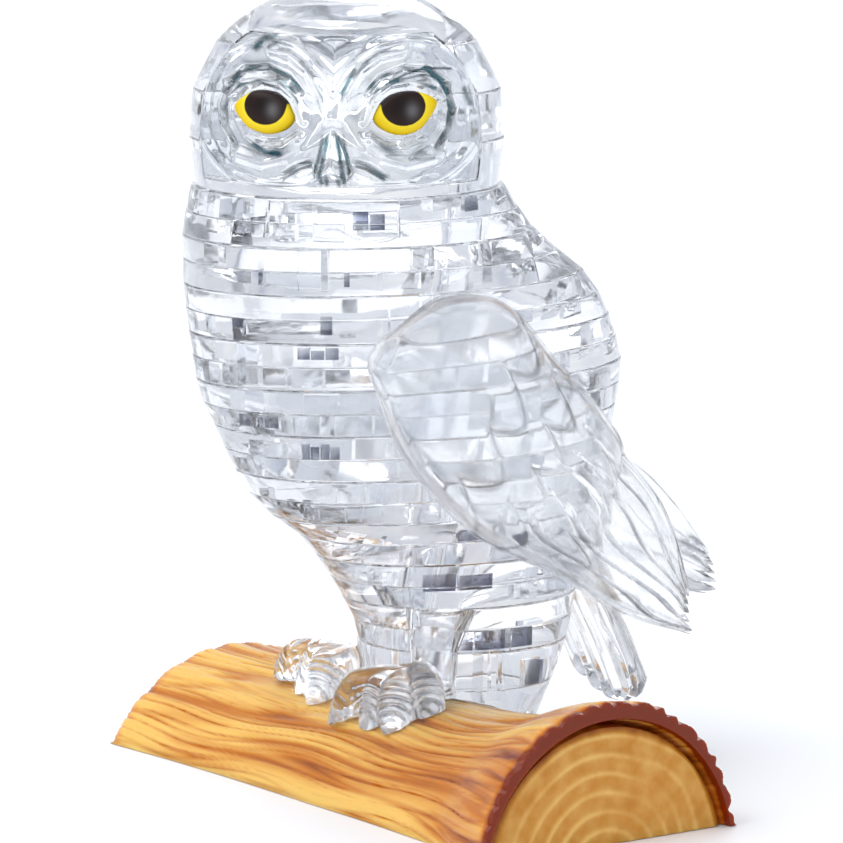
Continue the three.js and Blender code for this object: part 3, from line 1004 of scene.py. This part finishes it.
def stroke(x, z, points, width):
    """1 along a line of points on the face, falling off to its sides."""
    nearest = np.full(x.shape, 99.0)
    for (x0, z0), (x1, z1) in zip(points, points[1:]):
        along = np.array([x1 - x0, z1 - z0], float)
        t = np.clip(((x - x0) * along[0] + (z - z0) * along[1]) / along.dot(along), 0, 1)
        nearest = np.minimum(nearest, np.hypot(x - x0 - along[0] * t, z - z0 - along[1] * t))
    return bell(nearest, width)


FOREHEAD_EDGE = [(0.0, 84.6), (1.2, 86.3), (2.8, 87.9), (4.8, 89.3), (7.2, 90.0)]
INNER_BROW = [(0.5, 81.2), (1.5, 84.0), (3.0, 86.6), (5.2, 88.2), (7.5, 88.6)]
BROW_FOLD = [(4.0, 83.9), (5.6, 85.6), (8.2, 86.6), (11.0, 86.3), (13.0, 84.6)]
OUTER_FOLD = [(13.0, 84.4), (13.7, 82.0), (13.4, 79.6), (12.0, 77.6)]
UPPER_LID = [(3.6, 80.9), (4.9, 83.5), (6.8, 84.9), (8.9, 85.2), (11.0, 84.7), (12.3, 83.3)]
LOWER_LID = [(12.4, 83.0), (12.3, 80.6), (11.0, 78.6), (8.6, 77.6), (6.2, 77.8), (4.4, 79.0)]
CHEEK = [(1.6, 80.6), (3.6, 78.4), (5.8, 76.8), (8.6, 76.0), (11.4, 76.6)]
MOUTH = [(2.9, 76.0), (4.2, 75.6), (6.0, 74.5)]
BEAK_LEAF = [(0.7, 78.5), (1.2, 76.9), (1.5, 75.4), (1.0, 74.2)]
LID_SHADE = [(4.3, 82.9), (5.4, 84.4), (7.2, 85.2), (9.4, 85.2), (11.6, 84.3)]
LOWER_SHADE = [(5.0, 78.3), (7.4, 77.0), (10.2, 77.3)]
INNER_SHADE = [(0.9, 83.2), (2.0, 85.6), (3.8, 87.4)]
# Single marks of painted shade on the owl's right brow and beside its left eye: a line, how dark and how
# wide.
CREST_MARKS = [
    ([(-9.6, 88.6), (-8.4, 89.7), (-7.2, 90.0)], 0.9, 0.35),
    ([(-7.6, 88.9), (-6.8, 89.4)], 0.6, 0.25),
    ([(-7.4, 86.3), (-6.3, 86.0)], 0.6, 0.14),
    ([(-7.0, 85.5), (-5.9, 85.0)], 0.6, 0.14),
    ([(-10.5, 86.8), (-8.4, 87.0), (-7.8, 85.8)], 0.35, 0.5),
    ([(10.6, 86.6), (12.2, 85.4), (13.2, 83.6)], 0.85, 0.26),
    ([(14.6, 84.0), (15.2, 82.2)], 0.6, 0.22),
    ([(6.2, 84.9), (8.6, 86.0), (11.0, 86.5), (13.0, 86.3)], 0.75, 0.12),
    ([(5.8, 84.2), (7.8, 85.4), (10.6, 85.8), (12.8, 85.1)], 0.6, 0.11),
    ([(1.0, 84.0), (1.8, 85.6), (2.4, 86.6)], 0.75, 0.2),
    ([(-13.2, 82.6), (-11.4, 84.6), (-9.2, 85.0), (-7.0, 84.2)], 0.5, 0.12),
    ([(-13.6, 83.6), (-12.0, 85.8), (-9.4, 86.6)], 0.5, 0.12),
    ([(-9.6, 77.9), (-8.2, 77.2), (-6.4, 77.0)], 0.7, 0.3),
]


def face_relief(x, z):
    """How far the face stands proud of its plain curve at places across and up the face, in millimetres."""
    side = np.abs(x)
    eye = np.hypot((side - EYE_LATERAL) / 1.25, z - EYE_HEIGHT)
    disc = np.hypot((side - 6.9) / 1.02, (z - 81.4) / 0.92)
    height = -1.1 * np.exp(-((eye / 4.4) ** 4))
    height += 0.6 * stroke(side, z, UPPER_LID, 0.6) + 0.5 * stroke(side, z, LOWER_LID, 0.6)
    height += 0.7 * bell(disc - 9.2, 0.8)
    height += 0.7 * stroke(side, z, FOREHEAD_EDGE, 0.5) + 0.9 * stroke(side, z, INNER_BROW, 0.7)
    height -= 0.5 * stroke(side, z, BROW_FOLD, 0.35) + 0.5 * stroke(side, z, OUTER_FOLD, 0.3)
    height += 0.5 * stroke(side, z, CHEEK, 0.9) - 0.5 * stroke(side, z, MOUTH, 0.4)
    width, rise = beak_shape(z)
    height += 2.3 * np.clip(1 - (side / width) ** 2, 0, 1) ** 0.6 * rise
    return height


def beak_shape(z):
    """The beak's half width and how fully it stands out: it widens downwards, then comes to a point."""
    low, high = np.clip((z - 73.5) / 1.5, 0, 1), np.clip((79.8 - z) / 4.6, 0, 1)
    return 2.4 * low ** 0.5 * high ** 0.7 + 0.05, low * high ** 0.6


def face_fold_shade(x, z):
    """The face's painted shade, 0 to 1: under brows and lids, beside the beak and in the nostrils."""
    side = np.abs(x)
    width, rise = beak_shape(z)
    near = np.where(x > 0, 1.0, 0.45)
    waver = 0.5 + 0.5 * np.sin(x * 1.3 + 1.2 * np.sin(z * 1.1)) * np.sin(z * 1.5 + 0.6 * x)
    folds = 0.9 * waver * stroke(side, z, BROW_FOLD, 0.24)
    folds += 1.1 * near * (0.4 + 0.6 * waver) * stroke(side, z, OUTER_FOLD, 0.27)
    folds += 0.85 * (0.2 + 0.8 * waver) * stroke(side, z, LID_SHADE, 0.2)
    folds += 0.5 * (0.3 + 0.7 * waver) * stroke(side, z, LOWER_SHADE, 0.5)
    folds += 0.9 * (0.3 + 0.7 * waver) * stroke(side, z, MOUTH, 0.42)
    folds += 0.5 * stroke(side, z, INNER_SHADE, 0.22)
    streaks = 0.65 + 0.35 * np.sin(side * 8 + z * 1.4)
    folds += 1.0 * streaks * stroke(side, z, BEAK_LEAF, 0.75)
    folds += 0.45 * bell(side - 0.97 * width, 0.14) * np.minimum(rise * 4, 1)
    eye = np.hypot((side - EYE_LATERAL) / 1.25, z - EYE_HEIGHT)
    folds += 0.16 * bell(eye - 4.1, 1.1) * waver + 0.06 * waver
    for line, depth, width in CREST_MARKS:
        folds += depth * stroke(x, z, line, width)
    return np.clip(folds, 0, 0.97)


def face_radius(z):
    return np.interp(z, *np.array([(h, head_radius(h)) for h in np.linspace(72, 92, 60)]).T)


def face_across(shares, z):
    radius = face_radius(z)
    return radius * np.sin(shares * np.arccos(FACE_DEPTH / radius))


def face_points(shares, z):
    """The face's outer surface on a grid of shares across it and heights."""
    radius = face_radius(z)
    angle = shares * np.arccos(FACE_DEPTH / radius)
    x = face_across(shares, z)
    edge = np.minimum((1 - np.abs(shares)) / 0.06, np.minimum((z - FACE_FLOOR) / 0.4, (FACE_TOP - z) / 0.6))
    edge = np.clip(edge, 0, 1)
    lift = (face_relief(x, z) - 0.9 * np.cos(angle) ** 2) * edge - 0.25 * (1 - edge) ** 2
    out = radius + lift
    return out * np.sin(angle), np.minimum(-out * np.cos(angle), -FACE_DEPTH - 0.25), z


def make_face(material):
    shares, z_grid = np.meshgrid(np.linspace(-1, 1, 300), np.linspace(FACE_FLOOR, FACE_TOP, 200))
    x, y, z = face_points(shares, z_grid)
    c, s = math.cos(HEAD_YAW), math.sin(HEAD_YAW)
    front = np.stack([x * c - y * s, x * s + y * c + HEAD_Y, z], -1)
    back = np.stack([x * c + FACE_DEPTH * s, x * s - FACE_DEPTH * c + HEAD_Y, z], -1)
    made = grid_shell("face", front, back)
    # The face's painted shade, on its front skin only.
    folds = face_fold_shade(face_across(shares, z_grid), z_grid).ravel()
    set_attribute(made, "shade_amount", np.concatenate([folds, folds * 0]))
    for side in (1, -1):
        combine(made, eye_form("socket", side, 0.12, 5.0), "DIFFERENCE")
    finish_piece(made, "face_front", material, "figurine", ["face_plate"], 40)


# The eye's edge, away from the beak and up from its middle. The brow cuts its top and slopes to the beak.
EYE_EDGE = [
    (3.55, 1.4), (2.9, 1.95), (1.6, 2.35), (0.2, 2.45), (-1.4, 2.1), (-2.6, 1.35), (-3.35, 0.3),
    (-3.7, -0.6), (-3.2, -1.45), (-2.2, -2.1), (-1.0, -2.45), (0.4, -2.35), (1.7, -1.75),
    (2.75, -0.5), (3.45, 0.7),
]
EYE_MIDDLE = (0, 0.2)
EYE_DROOP = {1: 0.04, -1: 0.3}
PUPIL = dict(x=-0.4, z=0.85, half_width=2.55, half_height=2.25)


def eye_outline(share, grow):
    """The eye's edge a share of the way round, grown outwards."""
    count = len(EYE_EDGE)
    place = share * count
    i, t = int(place) % count, place % 1
    a, b, c, d = (np.array(EYE_EDGE[(i + k) % count], float) for k in (-1, 0, 1, 2))
    point = spline_point(a, b, c, d, t)
    away = point - EYE_MIDDLE
    return point + away * (grow / np.linalg.norm(away))


def place_eye(side, x, depth, z):
    """A point of the eye, with x away from the beak and depth out of the face."""
    turn = math.radians(17)
    z -= EYE_DROOP[side] * max(0, x - 1.2)
    lateral = EYE_LATERAL + x * math.cos(turn) + depth * math.sin(turn)
    forward = 14.9 + depth * math.cos(turn) - x * math.sin(turn)
    return np.array(turn_head([(side * lateral, -forward, EYE_HEIGHT + z)])[0])


def eye_form(name, side, grow, front):
    """A domed eye, or with a large front the straight-sided form that cuts its socket."""
    rows, columns = 22, 71
    dome_rings, back_rings = [], []
    for r in range(rows):
        f = 0.02 + 0.98 * r / (rows - 1)
        dome = front if grow else 0.75 * (1 - f ** 2) ** 0.5 + 0.1
        ring = [EYE_MIDDLE + (eye_outline(c / columns, grow) - EYE_MIDDLE) * f for c in range(columns)]
        dome_rings.append([place_eye(side, x, dome, z) for x, z in ring])
        back_rings.append([place_eye(side, x, -1.2 - grow, z) for x, z in ring])
    return loft(name, dome_rings + back_rings[::-1])


def make_eyes(material):
    for name, side in (("eye_left", 1), ("eye_right", -1)):
        made = eye_form(name, side, 0.0, 0.0)
        centre = Vector((place_eye(side, PUPIL["x"], 0, PUPIL["z"]) + PERCH) * MM)
        across = (Vector((place_eye(side, 1, 0, 0) - place_eye(side, 0, 0, 0)))).normalized()
        ring, painted_highlight = [], []
        for v in made.data.vertices:
            away = (v.co - centre) / MM
            x, z = away.dot(across), away.z
            ring.append(0.67 * math.hypot(x / PUPIL["half_width"], z / PUPIL["half_height"]))
            # A painted highlight, low on the pupil and to one side of its middle.
            painted_highlight.append(bell(x * side - 1.0, 0.75) * bell(z + 0.5, 0.9) * (ring[-1] < 0.64))
        set_attribute(made, "ring", ring)
        set_attribute(made, "painted_highlight", painted_highlight)
        finish_piece(made, f"{name}_insert", material, "figurine", [name], 60)


# ---- Wings, tail and feet ----

def body_half_width(y, z):
    half_x, half_y, centre_y = smooth_table(BODY_SECTIONS, z)
    return half_x * math.sqrt(max(0, 1 - ((y - centre_y) / half_y) ** 2))


def wing_edge(points, along, wing):
    """A point on the wing's edge; the far wing's is drawn out towards its tip."""
    y, z = catmull(points, along)
    share = min(max(along, 0), 1) ** 2
    return y + wing["back"] * share, z + wing["lift"] * share


FEATHERS = 6


def wing_surface(along, across):
    """The wing's relief and the painted shade in its folds and along its edges: smooth shoulder, scalloped
    coverts, long primaries.
    """
    height = 0.8 * bell(across - 0.945, 0.05) + 0.3 * bell(across - 0.05, 0.05)
    lane = across * FEATHERS + 0.35 * math.sin(along * 5) + 0.25 * math.sin(along * 17 + across * 9)
    within = lane - math.floor(lane)
    start = 0.5 + 0.05 * (math.floor(lane) % 2) + 0.1 * (0.5 - across)
    quill = min(1, max(0, (along - start) / 0.05))
    step = min(within / 0.82, (1 - within) / 0.18)
    height += quill * (0.75 * step - 0.5)
    shade_amount = quill * 0.9 * bell(within - 0.95, 0.05)
    for row, place in enumerate((0.32, 0.44, 0.6)):
        scallop = abs(math.sin(math.pi * (across * (3.5 + row) + 0.5 * row)))
        past = along - place - 0.065 * scallop
        height += 0.55 / (1 + math.exp(max(-30, min(past / 0.008, 30))))
        shade_amount += 0.75 * bell(past - 0.008, 0.007)
    height += 0.45 * noise.noise(Vector((along * 5, across * 2.2, 2.5)))
    crease = bell(noise.noise(Vector((along * 7, across * 3, 7.5))), 0.03)
    patchy = 0.5 + 0.9 * noise.noise(Vector((along * 9, across * 4, 1.5)))
    shade_amount += 0.3 * crease + 0.35 * bell(across - 0.9, 0.02)
    shade_amount += 0.5 * bell(along - 0.985, 0.012)
    shade_amount += 0.3 * bell(across - 0.985, 0.012) + 0.3 * bell(across - 0.015, 0.012)
    return height, min(max(shade_amount * patchy, 0), 1)


def tip_share(along, across):
    """Draws back the wing's end between feathers, so that each ends in its own rounded tip."""
    notch = abs(math.sin(math.pi * FEATHERS * across * 0.86)) ** 0.5
    return along * (0.965 + 0.035 * notch)


def make_wing(name, material):
    wing = WINGS[name]

    def place(across, along):
        share = tip_share(along, across)
        top, bottom = (wing_edge(line, share, wing) for line in (WING_UPPER, WING_LOWER))
        y, z = (a + (b - a) * across for a, b in zip(top, bottom))
        skin = body_half_width(y, z)
        free = wing["root"] - wing["taper"] * max(0, y)
        out = 0.5 * (skin + WING_THICK + free + math.sqrt((skin + WING_THICK - free) ** 2 + 0.6))
        crown = math.sqrt(math.sin(math.pi * min(0.985, max(0.015, across))))
        end = min(1, min(share, 1 - along) / 0.03 + 0.25)
        thick = crown * (0.35 + 0.65 * end)
        relief, shade_amount = wing_surface(share, across)
        # A painted dark reflection on the lower tip of the far wing.
        under = wing["painted_shade"] * bell(share - 0.95, 0.06) * bell(across - 0.8, 0.16)
        rear = max(out - WING_THICK * thick * (1 - 0.35 * share), skin + FIT)
        front = max(out + 0.9 * (thick - 1) + relief * thick, rear + 0.4)
        return (wing["side"] * front, y, z), (wing["side"] * rear, y, z), min(1.0, shade_amount + under)

    made = sheet(name, 130, 240, place)
    combine(made, wing_peg(wing["side"], 0), "UNION")
    finish_piece(made, f"{name}_shell", material, "figurine", [name], 45)


def make_tail(material):
    """A fan of feathers side by side, each with a groove between and a rounded end."""
    slope = math.atan2(TAIL["root_z"] - TAIL["tip_z"], TAIL["tip_y"] - TAIL["root_y"])

    def place(across, t):
        lane = across * TAIL["feathers"]
        within = lane - math.floor(lane)
        hump = math.sqrt(max(math.sin(math.pi * within), 0))
        cut = 0.09 * max(0, 1 - 2 * across) ** 2 + 0.18 * max(0, 2 * across - 1) ** 1.6
        reach = t * (0.95 + 0.05 * hump) * (1 - cut)
        half = TAIL["root_half"] + (TAIL["tip_half"] - TAIL["root_half"]) * math.sqrt(reach)
        x = half * (1 - 2 * across) + TAIL["root_lean"] + (TAIL["tip_lean"] - TAIL["root_lean"]) * reach
        y = TAIL["root_y"] + (TAIL["tip_y"] - TAIL["root_y"]) * reach + 0.8 * math.sin(math.pi * reach)
        z = TAIL["root_z"] + (TAIL["tip_z"] - TAIL["root_z"]) * reach
        thin = min(1, (1 - t) / 0.06 + 0.12) ** 0.7 * min(1, (1 - abs(2 * across - 1)) / 0.06 + 0.25)
        quill = 0.25 * bell(within - 0.5, 0.1)
        wobble = 0.35 * noise.noise(Vector((across * 6, t * 4, 5.5)))
        top = (TAIL["thick"] / 2 - 0.8 * (1 - hump) + quill + wobble) * thin
        bottom = (-TAIL["thick"] / 2 + 0.4 * (1 - hump)) * thin
        faces = [(x, y + side * math.sin(slope), z + side * math.cos(slope)) for side in (top, bottom)]
        # The third value is painted shade in the grooves between feathers and along their ends.
        return *faces, min(1, max(0, 0.6 * (0.7 - hump)) + 0.3 * bell(t - 0.97, 0.02))

    made = sheet("tail_fan", 120, 110, place)
    combine(made, body_clearance(8, 50, 60), "DIFFERENCE")
    combine(made, tail_root(0), "UNION")
    finish_piece(made, "tail_fan", material, "figurine", ["tail"], 45)


TOE_HALF_WIDTH = 2.45
TOE_HEIGHT = 4.6
TOE_SUNK = 0.6
# Arched grooves round a toe's end: how far out from its middle, and how deep.
TOE_GROOVES = [(1.5, 1.0), (2.4, 0.9), (3.3, 0.8), (4.2, 0.6)]
GROOVE_DEPTH = 0.24


def toe_rings(root, tip, sides=32, steps=24):
    """A toe with upright sides and a rounded back, running level from the foot's middle to a rounded tip."""
    start, end = np.array(root, float), np.array(tip, float)
    heading = (end - start) / np.linalg.norm(end - start)
    across = np.array([-heading[1], heading[0], 0])
    end = end + heading * 0.5
    rings = []
    for s in range(steps + 1):
        t = s / steps
        x, y = start + (end - start) * t
        tip_round = math.sqrt(max(1 - max(0, (t - 0.62) / 0.38) ** 2.2, 0.004))
        knuckle = 1 + 0.05 * bell(t - 0.45, 0.1) - 0.07 * bell(t - 0.68, 0.035)
        floor = bark_height(x, y) - TOE_SUNK
        top = bark_height(*start) * 0.45 + bark_height(x, y) * 0.55 + TOE_HEIGHT
        middle, half = (top + floor) / 2, (top - floor) / 2
        ring = []
        for i in range(sides):
            c, h = math.cos(TAU * i / sides), math.sin(TAU * i / sides)
            wide = TOE_HALF_WIDTH * math.copysign(abs(c) ** 0.75, c) * knuckle * (0.35 + 0.65 * tip_round)
            high = math.copysign(abs(h) ** (0.8 if h > 0 else 0.4), h)
            drop = middle + half * high - (half * 0.95 * (1 - tip_round) * (1 + high))
            ring.append(np.array([x, y, drop]) + across * wide)
        rings.append(ring)
    return rings


def toe_grooves(foot, point, width):
    """How deep the arched grooves round each toe's rounded end are at a point, 0 to about 1."""
    nearest = min(foot["toes"], key=lambda toe: math.hypot(point.x - toe[0], point.y - toe[1]))
    away = math.hypot(point.x - nearest[0], point.y - nearest[1])
    reach = math.hypot(away * 0.9, point.z - bark_height(*nearest) - 0.6)
    return sum(depth * bell(reach - place, width) for place, depth in TOE_GROOVES)


def toe_groove_shade(foot, point):
    """How much painted shade the toe's grooves get: it fades and returns along their length."""
    return min(1.0, toe_grooves(foot, point, 0.16) * (0.45 + 0.4 * math.sin(point.x * 3.1 + point.z * 2.3)))


def make_foot(name, material):
    foot = FEET[name]
    made = loft(name, toe_rings(foot["root"], foot["toes"][0]))
    for tip in foot["toes"][1:]:
        combine(made, loft("toe", toe_rings(foot["root"], tip)), "UNION")
    combine(made, body_clearance(6, 30, 40), "DIFFERENCE")
    combine(made, loft("leg", leg_rings(foot["ankle"], 0)), "UNION")
    remesh = made.modifiers.new("merge", "REMESH")
    remesh.mode = "VOXEL"
    remesh.voxel_size = 0.22 * MM
    relax = made.modifiers.new("relax", "SMOOTH")
    relax.iterations = 6
    relax.factor = 0.5
    apply_modifiers(made)
    for v in made.data.vertices:
        v.co -= v.normal * (GROOVE_DEPTH * MM * toe_grooves(foot, v.co / MM - Vector(PERCH), 0.26))
    combine(made, perch_form(0.12), "DIFFERENCE")
    keep_main(made)
    set_attribute(made, "shade_amount", [toe_groove_shade(foot, v.co / MM - Vector(PERCH)) for v in made.data.vertices])
    finish_piece(made, f"{name}_toes", material, "figurine", [name], 55)


def keep_main(made):
    """Drops the loose crumbs that a cut leaves, and keeps what the highest point belongs to."""
    mesh = bmesh.new()
    mesh.from_mesh(made.data)
    queue = [max(mesh.verts, key=lambda vert: vert.co.z)]
    kept = set(queue)
    while queue:
        for edge in queue.pop().link_edges:
            for vert in edge.verts:
                if vert not in kept:
                    kept.add(vert)
                    queue.append(vert)
    bmesh.ops.delete(mesh, geom=[vert for vert in mesh.verts if vert not in kept], context="VERTS")
    mesh.to_mesh(made.data)
    mesh.free()


# ---- Spindle and key ----

def make_spindle(material):
    made = rod("spindle_rod", SPINDLE_R, SPINDLE_LOW[2], SPINDLE_HIGH[2], 0, SPINDLE_Y, rounding=0.4)
    finish_piece(made, "spindle_rod", material, "figurine", ["spindle"])


def make_key(material):
    low, high = box_mm("lock_key")
    radius = (high[0] - low[0]) / 2
    made = rod("key", radius, low[2], high[2], 0, SPINDLE_Y, 96, 0.2)
    slot = block("slot", (-2.6, -0.5, -1), (2.6, 0.5, 0.5), 0.0, (0, SPINDLE_Y, 0))
    combine(made, slot, "DIFFERENCE")
    finish_piece(made, "quarter_turn_key", material, "lock_key", ["lock_key"])


# ---- Everything together ----

def build():
    make_camera()
    make_world()
    set_light_paths()
    make_floor(matt_floor("floor_white"))
    add_area_light("key_light", (0.15, -0.8, 0.75), (1, 1, 1))
    add_area_light("rim_light", (-0.6, 0.55, 0.6), (0.94, 0.97, 1.0))
    add_sky_light()
    # Each clear plastic has its tint, roughness, waviness, the strength of its painted shade and that shade's
    # dark colour.
    clear = clear_plastic("clear_body", (0.96, 0.97, 0.985), 0.045, 0.06, 0.66, (0.02, 0.035, 0.11))
    sculpted = clear_plastic("clear_sculpted", (0.93, 0.945, 0.965), 0.05, 0.05, 0.35)
    face = clear_plastic("clear_face", (0.90, 0.92, 0.94), 0.06, 0.05, 0.8, (0.0, 0.016, 0.022))
    feet = clear_plastic("clear_feet", (0.975, 0.98, 0.985), 0.13, 0.3, 0.4)
    frosted = clear_plastic("clear_wing", (0.965, 0.975, 0.985), 0.145, 0.14, 0.5)
    bark = amber_plastic("amber_bark", (0.19, 0.022, 0.002), (0.56, 0.18, 0.014), (0.86, 0.5, 0.12))
    ends = amber_plastic("amber_end", (0.3, 0.08, 0.01), (0.6, 0.25, 0.025), (0.84, 0.5, 0.14))
    make_bark(bark)
    make_log_end("end_plate_right", "log_end_right", ends)
    make_log_end("end_plate_left", "log_end_left", ends)
    floor_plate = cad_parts["log_floor"]
    floor_plate.data.materials.clear()
    floor_plate.data.materials.append(bark)
    make_spindle(clear)
    make_key(clear)
    make_layers(clear)
    make_head_rings(clear)
    make_face(face)
    make_eyes(printed_eye("printed_eye"))
    for name in WINGS:
        make_wing(name, frosted)
    make_tail(sculpted)
    for name in FEET:
        make_foot(name, feet)


build()
